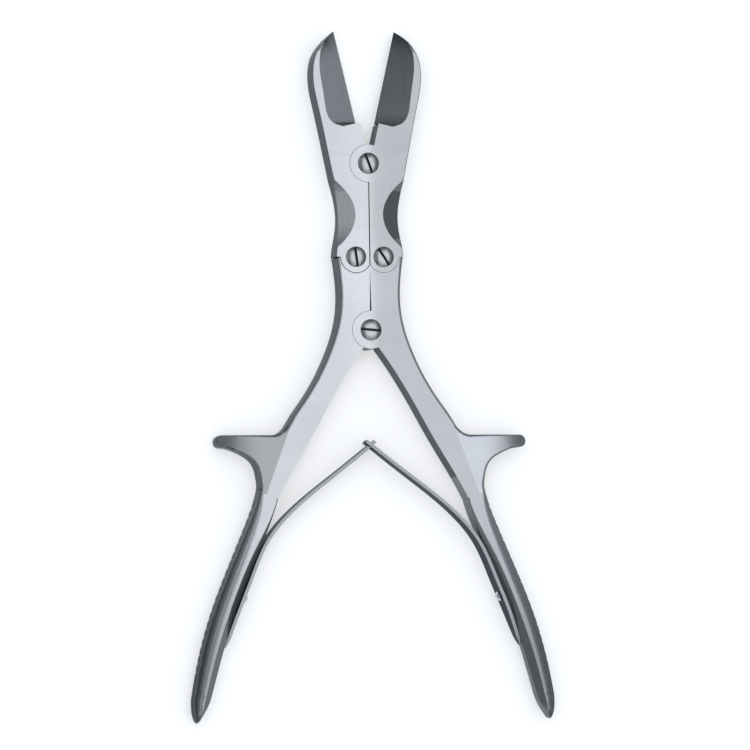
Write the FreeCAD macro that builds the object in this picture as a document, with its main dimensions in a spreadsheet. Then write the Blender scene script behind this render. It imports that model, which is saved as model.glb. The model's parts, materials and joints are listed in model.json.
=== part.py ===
import FreeCAD, Part
import math
import os
import Sketcher
from FreeCAD import Placement, Rotation, Vector

# Bone cutting forceps with two pairs of levers. The jaws turn about an upper screw, the handles
# about a lower screw, and a link screw on each side joins a jaw's shank to a handle's arm.
# The forceps lie flat and stand fully open. The origin is on the handle screw's axis at the
# underside, +X runs to the right seen from the screw heads, +Y to the jaw tips, +Z up.
# Each half of a pair is made by one function, with side = 1 on the right and -1 on the left.

sizes = [
    ("body_thickness", 10.0, "thickness of jaws and handles"),
    ("face_gap", 0.1, "gap between the two half thick layers of a lap"),
    ("round_gap", 0.15, "gap round a disc or knuckle in its recess"),
    ("seam_gap", 0.03, "each shoulder beside the line through the links"),
    ("pivot_span", 62.8, "jaw screw above handle screw"),
    ("link_height", 27.5, "link screws above handle screw"),
    ("link_out", 5.3, "link screws beside the centre line"),
    ("disc_radius", 7.1, "lap discs round the jaw and handle screws"),
    ("knuckle_radius", 5.9, "lap knuckles round the link screws"),
    ("shoulder_out", 13.0, "outer end of the shoulder"),
    ("jaw_slit", 0.2, "jaw shank beside the centre line"),
    ("arm_slit_top", 0.05, "handle arm beside the centre line at the link"),
    ("arm_slit_low", 0.28, "handle arm beside the centre line at the disc"),
    ("blade_angle", 13.0, "cutting edge from the centre line when open, in degrees"),
    ("blade_root", 15.7, "start of the cutting edge above the jaw screw"),
    ("blade_length", 36.1, "length of the cutting edge"),
    ("edge_gap", 0.03, "cutting edge beside the line through the jaw screw"),
    ("edge_land", 0.1, "thickness left at the cutting edge"),
    ("inner_step", 0.7, "step of the jaws between blade and disc, towards the right"),
    ("bevel_width", 11.0, "widest part of the bevel"),
    ("jaw_waist", 11.5, "narrowest half width of the shank"),
    ("jaw_hip", 14.8, "half width beside the jaw screw"),
    ("jaw_belly", 20.95, "half width at the widest of the blade"),
    ("jaw_chamfer", 0.35, "chamfer of the jaw's outer edges"),
    ("scoop_radius", 30.0, "radius of the scoops in the shank"),
    ("scoop_tilt", 22.0, "tilt of a scoop, in degrees"),
    ("scoop_reach", 5.3, "inner end of a scoop beside the centre line"),
    ("scoop_drop", 19.4, "middle of a scoop below the jaw screw"),
    ("arm_waist", 11.6, "narrowest half width of the arms"),
    ("arm_chamfer", 1.3, "chamfer of the outer edges of arm and guard"),
    ("guard_drop", 39.4, "top of the finger guard below the handle screw"),
    ("guard_reach", 59.7, "tip of the finger guard beside the centre line"),
    ("guard_depth", 4.6, "thickness of the guard near its tip"),
    ("grip_spread", 69.6, "outermost point of the grip"),
    ("grip_drop", 146.7, "end of the grip below the handle screw"),
    ("grip_width", 8.6, "widest part of the grip"),
    ("guard_draft", 2.0, "slope of the guard's faces, in degrees"),
    ("guard_fall", 30.0, "radius of the guard's faces near its tip"),
    ("guard_fall_start", 15.0, "start of that radius outside the crease"),
    ("notch_half", 1.45, "half width of a grip notch"),
    ("notch_depth", 0.6, "depth of a grip notch"),
    ("notch_pitch", 3.43, "spacing of the grip notches"),
    ("notch_count", 20, "number of grip notches on a handle"),
    ("notch_start", 6.0, "first notch below the top of the grip"),
    ("pin_radius", 2.4, "screw shank"),
    ("pin_gap", 0.05, "running gap round a screw shank"),
    ("loose_gap", 0.15, "gap at the jaw screw, which takes up the levers' play"),
    ("thread_gap", 0.02, "gap in the threaded half of a screw's hole"),
    ("screw_recess", 0.15, "end of a screw above the underside"),
    ("head_radius", 3.9, "heads of the jaw and handle screws"),
    ("link_head_radius", 3.75, "heads of the link screws"),
    ("head_gap", 0.15, "gap round a screw head"),
    ("head_depth", 1.4, "depth of a head below the face"),
    ("seat_gap", 0.03, "gap below a screw head"),
    ("head_rise", 0.65, "height of a head's crown above the face"),
    ("slot_width", 1.0, "width of a screw slot"),
    ("slot_depth", 1.1, "depth of a screw slot below the crown"),
    ("spring_thickness", 1.2, "thickness of the leaf springs"),
    ("spring_width", 9.0, "width of a spring at its rivet"),
    ("spring_tip_width", 6.5, "width of a spring at its tip"),
    ("spring_gap", 0.1, "gap between a spring and its handle"),
    ("spring_cross", 43.2, "crossing of the springs below the handle screw"),
    ("spring_past", 2.4, "length of a spring past the crossing"),
    ("spring_tail", 18.8, "length of a spring below its rivet"),
    ("tongue_width", 3.0, "tongue of the left spring"),
    ("tongue_gap", 0.4, "gap round the tongue in its slot"),
    ("rivet_radius", 1.15, "rivet shank"),
    ("rivet_head_radius", 1.75, "rivet head"),
    ("rivet_head_rise", 0.9, "height of a rivet head"),
    ("rivet_depth", 4.5, "depth of a rivet in its handle"),
    ("rivet_drop", 99.6, "rivet below the handle screw"),
    ("over_cut", 1.0, "how far a cut starts outside the solid"),
]
derived = [
    ("layer_depth", "=(body_thickness - face_gap) / 2", "thickness of one lap layer"),
    ("front_floor", "=body_thickness - layer_depth", "underside of the front layer"),
    ("mid_height", "=body_thickness / 2", "height of the middle plane"),
    ("disc_recess", "=disc_radius + round_gap", "recess for the other half's disc"),
    ("knuckle_recess", "=knuckle_radius + round_gap", "recess for the other piece's knuckle"),
    ("pin_hole", "=pin_radius + pin_gap", "running hole"),
    ("loose_hole", "=pin_radius + loose_gap", "hole with play at the jaw screw"),
    ("thread_hole", "=pin_radius + thread_gap", "threaded hole"),
    ("head_hole", "=head_radius + head_gap", "counterbore of the jaw and handle screws"),
    ("link_head_hole", "=link_head_radius + head_gap", "counterbore of the link screws"),
    ("head_top", "=body_thickness + head_rise", "top of a head's crown"),
    ("rivet_hole", "=rivet_radius + thread_gap", "hole for a rivet"),
]

os.makedirs("parts", exist_ok=True)
doc = FreeCAD.newDocument("bone_cutting_forceps")
sheet = doc.addObject("Spreadsheet::Sheet", "Sizes")
for row, (alias, value, note) in enumerate(sizes + derived, start=1):
    sheet.set(f"A{row}", note)
    sheet.set(f"B{row}", str(value))
    sheet.setAlias(f"B{row}", alias)
doc.recompute()
value_of = {alias: float(sheet.get(alias)) for alias, value, note in sizes + derived}


def spline(points, tangents=None):
    curve = Part.BSplineCurve()
    if tangents:
        curve.interpolate(Points=points, InitialTangent=tangents[0], FinalTangent=tangents[1])
    else:
        curve.interpolate(points)
    return curve


def chain(points):
    return [Part.LineSegment(a, b) for a, b in zip(points, points[1:])]


def swing(start, heading, end):
    # one arc that leaves start along heading and ends at end, or a line where it is nearly straight
    chord = end - start
    angle = math.atan2(heading.x * chord.y - heading.y * chord.x, heading.dot(chord))
    if abs(angle) < 1e-3:
        return Part.LineSegment(start, end)
    aside = Vector(chord.y, -chord.x, 0) * (math.tan(angle / 2) / 2)
    return Part.Arc(start, (start + end) / 2 + aside, end)


def smooth_run(points, headings):
    # two arcs from each point to the next, all tangent to one another and to the headings
    run = []
    for start, end, first, last in zip(points, points[1:], headings, headings[1:]):
        chord = end - start
        both = chord.dot(first + last)
        bend = 2 * (1 - first.dot(last))
        if bend < 1e-6:
            reach = chord.dot(chord) / (2 * both)
        else:
            reach = (math.sqrt(both * both + bend * chord.dot(chord)) - both) / bend
        ahead, behind = start + first * reach, end - last * reach
        joint = (ahead + behind) / 2
        run += [swing(start, first, joint), swing(joint, (behind - ahead).normalize(), end)]
    return run


def flowing(points, tangents=None):
    # tangent arcs that follow a spline through the points
    curve = spline(points, tangents)
    headings = [curve.tangent(curve.parameter(point))[0] for point in points]
    return smooth_run(points, headings)


def add_body(label):
    body = doc.addObject("PartDesign::Body", label)
    body.Label = label
    return body


def flat_sketch(body, name, height, geometry=()):
    # a sketch parallel to the underside, at a height given as an expression
    sketch = body.newObject("Sketcher::SketchObject", name)
    plane = [item for item in body.Origin.OriginFeatures if item.Role == "XY_Plane"][0]
    sketch.AttachmentSupport = (plane, [""])
    sketch.MapMode = "FlatFace"
    sketch.setExpression("AttachmentOffset.Base.z", height)
    for item in geometry:
        sketch.addGeometry(item)
    return sketch


def free_sketch(body, name, origin, across, up, geometry):
    # a sketch whose own x runs along across and whose own y runs along up
    sketch = body.newObject("Sketcher::SketchObject", name)
    sketch.Placement = Placement(origin, Rotation(across, up, across.cross(up), "XYZ"))
    for item in geometry:
        sketch.addGeometry(item)
    return sketch


def add_circle(sketch, side, out, up, radius):
    # a circle whose centre and radius are aliases, with None for a coordinate of zero
    place = Vector(side * value_of[out] if out else 0, value_of[up] if up else 0, 0)
    index = sketch.addGeometry(Part.Circle(place, Vector(0, 0, 1), value_of[radius]))
    if out:
        ends = (-1, 1, index, 3) if side > 0 else (index, 3, -1, 1)
        row = sketch.addConstraint(Sketcher.Constraint("DistanceX", *ends, value_of[out]))
        sketch.setExpression(f"Constraints[{row}]", f"Sizes.{out}")
    else:
        sketch.addConstraint(Sketcher.Constraint("PointOnObject", index, 3, -2))
    if up:
        row = sketch.addConstraint(Sketcher.Constraint("DistanceY", -1, 1, index, 3, value_of[up]))
        sketch.setExpression(f"Constraints[{row}]", f"Sizes.{up}")
    else:
        sketch.addConstraint(Sketcher.Constraint("PointOnObject", index, 3, -1))
    row = sketch.addConstraint(Sketcher.Constraint("Radius", index, value_of[radius]))
    sketch.setExpression(f"Constraints[{row}]", f"Sizes.{radius}")


def pad(body, sketch, length):
    feature = body.newObject("PartDesign::Pad", f"{sketch.Name}_pad")
    feature.Profile = sketch
    feature.setExpression("Length", length)
    doc.recompute()
    return feature


def pocket(body, sketch, length):
    # cuts from the sketch against its own z, and must take something away
    before = body.Shape.Volume
    feature = body.newObject("PartDesign::Pocket", f"{sketch.Name}_pocket")
    feature.Profile = sketch
    feature.setExpression("Length", length)
    doc.recompute()
    if body.Shape.Volume > before - 1e-6:
        raise ValueError(f"{feature.Name} cuts nothing")
    return feature


def loft(body, kind, name, sketches):
    feature = body.newObject(f"PartDesign::{kind}Loft", name)
    feature.Profile = sketches[0]
    feature.Sections = sketches[1:]
    doc.recompute()
    return feature


def rim_edges(shape, curves):
    # the shape's edges in its front and back faces that run along the given outline curves
    lines = [curve.toShape() for curve in curves]
    names = []
    for index, edge in enumerate(shape.Edges, start=1):
        middle = edge.valueAt((edge.FirstParameter + edge.LastParameter) / 2)
        on_face = min(abs(middle.z), abs(middle.z - value_of["body_thickness"])) < 1e-6
        foot = Part.Vertex(middle.x, middle.y, 0)
        if on_face and any(foot.distToShape(line)[0] < 1e-4 for line in lines):
            names.append(f"Edge{index}")
    return names


def break_rim(body, base, curves, width):
    feature = body.newObject("PartDesign::Chamfer", f"{base.Name}_chamfer")
    feature.Base = (base, rim_edges(base.Shape, curves))
    feature.setExpression("Size", f"Sizes.{width}")
    doc.recompute()
    return feature


def cut_layer(body, side, layer, out, up, radius):
    # a round recess through one layer, for the other piece's disc or knuckle
    top = "Sizes.body_thickness + Sizes.over_cut" if layer == "front" else "Sizes.front_floor"
    sketch = flat_sketch(body, f"{body.Name}_{radius}_{layer}", top)
    add_circle(sketch, side, out, up, radius)
    pocket(body, sketch, "Sizes.front_floor + Sizes.over_cut")


def add_layer(body, layer, name, geometry=(), circle=None):
    # a disc or knuckle that is one layer thick
    floor = "Sizes.front_floor" if layer == "front" else "0"
    sketch = flat_sketch(body, f"{body.Name}_{name}", floor, geometry)
    if circle:
        add_circle(sketch, *circle)
    pad(body, sketch, "Sizes.layer_depth")


def knuckle_outline(side, slit, rise):
    # a circle round the link, cut off flat beside the centre line and let into the piece it is on
    radius, out, link = value_of["knuckle_radius"], value_of["link_out"], value_of["link_height"]
    first = math.acos((value_of[slit] - out) / radius)
    last = math.radians(-2)
    ends = [Vector(side * (out + radius * math.cos(turn)), link + rise * radius * math.sin(turn), 0)
            for turn in (first, (first + last) / 2, last)]
    low = link - rise * 0.25 * radius
    corners = [ends[2], Vector(side * (out + 0.5 * radius), low, 0), Vector(side * value_of[slit], low, 0),
               ends[0]]
    return [Part.Arc(*ends)] + chain(corners)


def drill(body, side, out, up, hole, head=None):
    sketch = flat_sketch(body, f"{body.Name}_{hole}_{up}", "Sizes.body_thickness + Sizes.over_cut")
    add_circle(sketch, side, out, up, hole)
    pocket(body, sketch, "Sizes.body_thickness + 2 * Sizes.over_cut")
    if head:
        seat = flat_sketch(body, f"{body.Name}_{head}_{up}", "Sizes.body_thickness + Sizes.over_cut")
        add_circle(seat, side, out, up, head)
        pocket(body, seat, "Sizes.head_depth + Sizes.seat_gap + Sizes.over_cut")


def grind_bevel(body, side, face, edge, outward, pivot):
    # the ground bevel runs from the cutting edge at mid height up to the face,
    # and is cut by a loft of sections across the blade
    stations = [(-0.08, 0.42), (0.17, 0.69), (0.5, 0.93), (0.75, 1.0), (0.9, 0.95), (1.0, 0.55)]
    thickness = value_of["body_thickness"]
    low = (thickness + value_of["edge_land"]) / 2
    high = thickness + value_of["over_cut"]
    clear = -value_of["over_cut"]
    tip = value_of["blade_root"] + value_of["blade_length"]
    sketches = []
    for number, (share, width) in enumerate(stations):
        reach = width * value_of["bevel_width"]
        corners = [Vector(0, low), Vector(reach, thickness), Vector(reach, high), Vector(clear, high),
                   Vector(clear, low), Vector(0, low)]
        place = pivot + edge * (tip - share * value_of["blade_length"]) + outward * value_of["edge_gap"]
        up = Vector(0, 0, 1)
        if face == "back":
            place = place + Vector(0, 0, thickness)
            up = Vector(0, 0, -1)
        name = f"{body.Name}_{face}_bevel_{number}"
        sketches.append(free_sketch(body, name, place, outward, up, chain(corners)))
    loft(body, "Subtractive", f"{body.Name}_{face}_bevel", sketches)


def cut_scoop(body, side, face):
    # a large tilted cylinder leaves a crescent on the shank's face
    tilt = math.radians(value_of["scoop_tilt"])
    flip = 1 if face == "front" else -1
    along = Vector(side * math.cos(tilt), 0, -flip * math.sin(tilt))
    lift = Vector(side * math.sin(tilt), 0, flip * math.cos(tilt))
    height = value_of["body_thickness"] if face == "front" else 0
    start = Vector(side * value_of["scoop_reach"], value_of["pivot_span"] - value_of["scoop_drop"], height)
    length = 2 * value_of["shoulder_out"]
    feature = body.newObject("PartDesign::SubtractiveCylinder", f"{body.Name}_{face}_scoop")
    feature.setExpression("Radius", "Sizes.scoop_radius")
    feature.setExpression("Height", "2 * Sizes.shoulder_out")
    base = start + lift * value_of["scoop_radius"] - along * (length / 2)
    feature.Placement = Placement(base, Rotation(Vector(0, 0, 1), along))
    doc.recompute()


def make_jaw(label, side):
    body = add_body(label)
    rise = value_of["pivot_span"]
    shank = rise - value_of["link_height"]
    tip_radius = value_of["blade_root"] + value_of["blade_length"]
    turn = math.radians(value_of["blade_angle"])
    edge = Vector(side * math.sin(turn), math.cos(turn), 0)
    outward = Vector(side * math.cos(turn), -math.sin(turn), 0)
    pivot = Vector(0, rise, 0)

    def at(out, up):
        return Vector(side * out, rise + up, 0)

    low = value_of["seam_gap"] - shank
    tip = pivot + edge * tip_radius + outward * value_of["edge_gap"]
    root = pivot + edge * value_of["blade_root"] + outward * value_of["edge_gap"]
    step = outward * (side * value_of["inner_step"] + value_of["edge_gap"])
    spine = flowing([
        at(value_of["shoulder_out"], low),
        at(value_of["jaw_waist"] + 0.9, -0.86 * shank),
        at(value_of["jaw_waist"], -0.6 * shank),
        at(value_of["jaw_waist"] + 1.2, -0.3 * shank),
        at(value_of["jaw_hip"], 0),
        at((value_of["jaw_hip"] + 2 * value_of["jaw_belly"]) / 3, 0.39 * tip_radius),
        at(value_of["jaw_belly"], 0.65 * tip_radius),
        at(value_of["jaw_belly"] - 1.5, 0.8 * tip_radius),
        at(value_of["jaw_belly"] - 4.2, 0.88 * tip_radius),
        tip,
    ])
    inner = [tip, root, root + step, pivot + step,
             at(value_of["jaw_slit"], -value_of["disc_radius"] / 2), at(value_of["jaw_slit"], low),
             at(value_of["shoulder_out"], low)]
    outline = flat_sketch(body, f"{label}_outline", "0", spine + chain(inner))
    blank = pad(body, outline, "Sizes.body_thickness")
    break_rim(body, blank, spine, "jaw_chamfer")
    for face in ("front", "back"):
        grind_bevel(body, side, face, edge, outward, pivot)
        cut_scoop(body, side, face)
    own, other = ("front", "back") if side > 0 else ("back", "front")
    cut_layer(body, side, other, None, "pivot_span", "disc_recess")
    cut_layer(body, side, "back", "link_out", "link_height", "knuckle_recess")
    add_layer(body, own, "disc", circle=(side, None, "pivot_span", "disc_radius"))
    add_layer(body, "front", "knuckle", geometry=knuckle_outline(side, "jaw_slit", -1))
    if side > 0:
        drill(body, side, None, "pivot_span", "loose_hole", "head_hole")
    else:
        drill(body, side, None, "pivot_span", "thread_hole")
    drill(body, side, "link_out", "link_height", "pin_hole", "link_head_hole")
    return body


# Stations down the grip: shares of its spread and drop at the back, then its width, the depth of
# the rounded back and of the sloping inner side as shares of its width, and its thickness.
grip_stations = [
    (0.625, 0.4145, 0.86, 0.22, 0.06, 1.0),
    (0.684, 0.486, 0.93, 0.49, 0.13, 1.0),
    (0.733, 0.539, 0.97, 0.55, 0.24, 1.0),
    (0.783, 0.594, 1.0, 0.56, 0.31, 1.0),
    (0.878, 0.7055, 1.0, 0.57, 0.31, 1.0),
    (0.954, 0.825, 0.95, 0.57, 0.33, 1.0),
    (0.994, 0.924, 0.81, 0.57, 0.34, 1.0),
    (0.997, 0.965, 0.61, 0.57, 0.34, 0.93),
    (0.985, 0.989, 0.36, 0.54, 0.36, 0.74),
    (0.974, 0.998, 0.16, 0.5, 0.4, 0.45),
]
straight_stations = 7


def grip_frames(side):
    # for each station its back point, the direction into the grip and the width there
    backs = [Vector(side * out * value_of["grip_spread"], -down * value_of["grip_drop"], 0)
             for out, down, *rest in grip_stations]
    back = spline(backs)
    frames = []
    for point, station in zip(backs, grip_stations):
        along = back.tangent(back.parameter(point))[0]
        inward = Vector(side * along.y, -side * along.x, 0)
        frames.append((point, inward, station[2] * value_of["grip_width"]))
    return back, frames


def grip_section(width, back_share, inner_share, thickness):
    # faceted half round at the back, a narrow flat on each face and a sloping inner side
    half = thickness / 2
    middle = value_of["mid_height"]
    deep = back_share * width
    ball = min(deep, 0.96 * half)
    slope = width - inner_share * width
    shelf = half * max(0.36, 1 - inner_share * width / half)
    back_half = []
    for step in range(5):
        turn = math.radians(22.5 * step)
        back_half.append((deep * (1 - math.cos(turn)), half - ball * (1 - math.sin(turn))))
    outline = back_half + [(slope, half), (width, shelf)]
    mirrored = [(across, -up) for across, up in reversed(outline)]
    corners = [Vector(across, middle + up) for across, up in outline + mirrored + outline[:1]]
    return chain(corners)


def cut_notches(body, side, back):
    # shallow notches across the back of the grip, evenly spaced along it
    line = back.toShape()
    height = "Sizes.body_thickness + Sizes.over_cut"
    sketch = flat_sketch(body, f"{body.Name}_notches", height)
    for number in range(int(value_of["notch_count"])):
        along = line.getParameterByLength(value_of["notch_start"] + number * value_of["notch_pitch"])
        tangent = line.tangentAt(along)
        inward = Vector(side * tangent.y, -side * tangent.x, 0)
        floor = line.valueAt(along) + inward * value_of["notch_depth"]
        rims = [floor + (tangent * (sign * value_of["notch_half"]) - inward * value_of["notch_depth"]) * 1.2
                for sign in (1, -1)]
        for item in chain([floor] + rims + [floor]):
            sketch.addGeometry(item)
    pocket(body, sketch, "Sizes.body_thickness + 2 * Sizes.over_cut")


def thin_guard(body, side, face):
    # from a crease in the web outwards the guard's face slopes, and falls off in an arc near the tip
    near = Vector(side * 0.556 * value_of["guard_reach"], -1.036 * value_of["guard_drop"], 0)
    far = Vector(side * 0.673 * value_of["guard_reach"], -1.513 * value_of["guard_drop"], 0)
    down = (far - near).normalize()
    outward = Vector(-side * down.y, side * down.x, 0)
    slope = math.radians(value_of["guard_draft"])
    start = value_of["guard_fall_start"]
    radius = value_of["guard_fall"]
    stop = value_of["guard_reach"] - near.x * side

    def level(out):
        turn = math.asin((out - start) / radius + math.sin(slope)) if out > start else slope
        return -min(out, start) * math.tan(slope) + radius * (math.cos(turn) - math.cos(slope))

    fall = Part.Arc(Vector(start, level(start)), Vector((start + stop) / 2, level((start + stop) / 2)),
                    Vector(stop, level(stop)))
    high = value_of["over_cut"]
    corners = [Vector(stop, level(stop)), Vector(stop, high), Vector(0, high), Vector(0, 0),
               Vector(start, level(start))]
    up = Vector(0, 0, 1) if face == "front" else Vector(0, 0, -1)
    height = value_of["body_thickness"] if face == "front" else 0
    own = outward.cross(up)
    place = near + own * (1.5 * value_of["guard_drop"]) + Vector(0, 0, height)
    sketch = free_sketch(body, f"{body.Name}_{face}_web", place, outward, up, [fall] + chain(corners))
    pocket(body, sketch, "3 * Sizes.guard_drop")


def rivet_seat(side):
    # the point on the grip's inner side where the rivet sits, and the direction out of the grip
    back, frames = grip_frames(side)
    inner = spline([point + inward * width for point, inward, width in frames[:straight_stations]])
    return on_seat(inner, side, value_of["rivet_drop"])


def on_seat(curve, side, drop):
    # the point of a curve at a given drop, and the normal that points to the other handle
    low, high = curve.FirstParameter, curve.LastParameter
    for step in range(40):
        middle = (low + high) / 2
        if -curve.value(middle).y < drop:
            low = middle
        else:
            high = middle
    tangent = curve.tangent(low)[0]
    return curve.value(low), Vector(side * tangent.y, -side * tangent.x, 0)


def make_handle(label, side):
    body = add_body(label)
    link = value_of["link_height"]
    drop, reach = value_of["guard_drop"], value_of["guard_reach"]
    depth = value_of["guard_depth"]
    spread, fall = value_of["grip_spread"], value_of["grip_drop"]
    back, frames = grip_frames(side)

    def at(out, up):
        return Vector(side * out, up, 0)

    shoulder = at(value_of["shoulder_out"], link - value_of["seam_gap"])
    guard_start = at(0.645 * reach, -drop)
    arm = flowing([
        shoulder,
        at(value_of["arm_waist"] + 0.6, 0.8 * link),
        at(value_of["arm_waist"], 0.5 * link),
        at(value_of["arm_waist"] + 1.05, 0.1 * link),
        at(0.275 * reach, -0.223 * drop),
        at(0.399 * reach, -0.584 * drop),
        at(0.536 * reach, -0.893 * drop),
        guard_start,
    ], [Vector(-side * 0.2, -1, 0), Vector(side, 0, 0)])
    horn_top = at(reach - depth / 2, -drop)
    horn_tip = at(reach, -drop - depth / 2)
    horn_low = at(reach - depth / 2, -drop - depth)
    grip_top = frames[0][0]
    run = horn_low - grip_top
    hollow = [Vector(grip_top.x + out * run.x, horn_low.y - down * run.y, 0)
              for out, down in ((0.73, 0.04), (0.42, 0.15), (0.165, 0.3), (0.036, 0.49), (-0.02, 0.72))]
    under = flowing([horn_low] + hollow + [grip_top],
                    [Vector(-side, 0, 0), back.tangent(back.FirstParameter)[0]])
    neck = grip_top + frames[0][1] * frames[0][2]
    crotch = at(0.43 * value_of["disc_recess"], -0.96 * value_of["disc_recess"])
    inner = flowing([
        neck,
        at(0.4856 * spread, -0.3954 * fall),
        at(0.3477 * spread, -0.2849 * fall),
        at(0.2256 * spread, -0.1813 * fall),
        crotch,
    ])
    top_line = Part.LineSegment(guard_start, horn_top)
    horn = Part.Arc(horn_top, horn_tip, horn_low)
    slit = chain([crotch, at(value_of["arm_slit_low"], 0),
                  at(value_of["arm_slit_low"], 1.15 * value_of["disc_radius"]),
                  at(value_of["arm_slit_top"], link - 1.1 * value_of["knuckle_radius"]),
                  at(value_of["arm_slit_top"], link - value_of["seam_gap"]), shoulder])
    outside = arm + [top_line, horn] + under
    geometry = outside + [Part.LineSegment(grip_top, neck)] + inner + slit
    outline = flat_sketch(body, f"{label}_outline", "0", geometry)
    blank = pad(body, outline, "Sizes.body_thickness")
    break_rim(body, blank, outside, "arm_chamfer")
    thin_guard(body, side, "front")
    thin_guard(body, side, "back")

    def section(number, name):
        point, inward, width = frames[number]
        station = grip_stations[number]
        shape = grip_section(width, station[3], station[4], station[5] * value_of["body_thickness"])
        return free_sketch(body, f"{label}_{name}_{number}", point, inward, Vector(0, 0, 1), shape)

    last = len(grip_stations)
    loft(body, "Additive", f"{label}_grip", [section(n, "grip") for n in range(straight_stations)])
    end_sections = [section(n, "end") for n in range(straight_stations - 1, last)]
    loft(body, "Additive", f"{label}_end", end_sections)
    cut_notches(body, side, back)

    own, other = ("front", "back") if side > 0 else ("back", "front")
    cut_layer(body, side, other, None, None, "disc_recess")
    cut_layer(body, side, "front", "link_out", "link_height", "knuckle_recess")
    add_layer(body, own, "disc", circle=(side, None, None, "disc_radius"))
    add_layer(body, "back", "knuckle", geometry=knuckle_outline(side, "arm_slit_top", 1))
    if side > 0:
        drill(body, side, None, None, "pin_hole", "head_hole")
    else:
        drill(body, side, None, None, "thread_hole")
    drill(body, side, "link_out", "link_height", "thread_hole")
    seat, outward = rivet_seat(side)
    hole = body.newObject("PartDesign::SubtractiveCylinder", f"{label}_rivet_hole")
    hole.setExpression("Radius", "Sizes.rivet_hole")
    hole.setExpression("Height", "Sizes.rivet_depth + Sizes.spring_gap + Sizes.over_cut")
    below = value_of["rivet_depth"] + value_of["spring_gap"]
    deep = seat + Vector(0, 0, value_of["mid_height"]) - outward * below
    hole.Placement = Placement(deep, Rotation(Vector(0, 0, 1), outward))
    return body


def turned_body(label, name, profile):
    # a body turned about its own z from a closed profile of radius against height
    body = add_body(label)
    sketch = free_sketch(body, name, Vector(), Vector(1, 0, 0), Vector(0, 0, 1), profile)
    feature = body.newObject("PartDesign::Revolution", f"{name}_turned")
    feature.Profile = sketch
    feature.ReferenceAxis = (sketch, ["V_Axis"])
    feature.setExpression("Angle", "360")
    doc.recompute()
    return body


def make_screw(label, side, out, up, head_radius, slot_angle):
    shank, head = value_of["pin_radius"], value_of[head_radius]
    floor, face = value_of["screw_recess"], value_of["body_thickness"]
    under = face - value_of["head_depth"]
    corners = [Vector(0, face + value_of["head_rise"]), Vector(0, floor), Vector(shank, floor),
               Vector(shank, under), Vector(head, under), Vector(head, face)]
    body = turned_body(label, f"{label}_profile", chain(corners + corners[:1]))
    half, arm = value_of["slot_width"] / 2, head + value_of["over_cut"]
    frame = [Vector(-arm, -half), Vector(arm, -half), Vector(arm, half), Vector(-arm, half)]
    height = "Sizes.head_top + Sizes.over_cut"
    slot = flat_sketch(body, f"{label}_slot", height, chain(frame + frame[:1]))
    pocket(body, slot, "Sizes.slot_depth + Sizes.over_cut")
    body.Placement = Placement(Vector(), Rotation(Vector(0, 0, 1), slot_angle))
    if out:
        body.setExpression("Placement.Base.x", f"{side} * Sizes.{out}")
    if up:
        body.setExpression("Placement.Base.y", f"Sizes.{up}")
    return body


def make_rivet(label, side):
    shank, head = value_of["rivet_radius"], value_of["rivet_head_radius"]
    deep = -value_of["rivet_depth"]
    under = value_of["spring_gap"] + value_of["spring_thickness"] + value_of["seat_gap"]
    rise = value_of["rivet_head_rise"]
    corners = [Vector(0, under + rise), Vector(0, deep), Vector(shank, deep), Vector(shank, under),
               Vector(head, under), Vector(head / 2, under + rise)]
    body = turned_body(label, f"{label}_profile", chain(corners + corners[:1]))
    seat, outward = rivet_seat(side)
    body.Placement = Placement(seat, Rotation(Vector(0, 0, 1), outward))
    body.setExpression("Placement.Base.z", "Sizes.mid_height")
    return body


def spring_line(side, past):
    # the middle line of a leaf spring, from its tip past the crossing to its tail on the grip
    back, frames = grip_frames(side)
    inner = spline([point + inward * width for point, inward, width in frames[:straight_stations]])
    stand = value_of["spring_gap"] + value_of["spring_thickness"] / 2
    leave, normal = on_seat(inner, side, 0.86 * value_of["rivet_drop"])
    leave = leave + normal * stand
    cross = Vector(0, -value_of["spring_cross"], 0)
    free = [cross + Vector(out * (leave.x - cross.x), down * (leave.y - cross.y), 0)
            for out, down in ((0.275, 0.222), (0.51, 0.407), (0.742, 0.615), (0.905, 0.815))]
    tip = cross + (cross - free[0]).normalize() * past
    seated = []
    for drop in (0.93, 1.0, 1.0 + 0.5 * value_of["spring_tail"] / value_of["rivet_drop"],
                 1.0 + value_of["spring_tail"] / value_of["rivet_drop"]):
        point, normal = on_seat(inner, side, drop * value_of["rivet_drop"])
        seated.append(point + normal * stand)
    return spline([tip, cross] + free + [leave] + seated)


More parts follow.
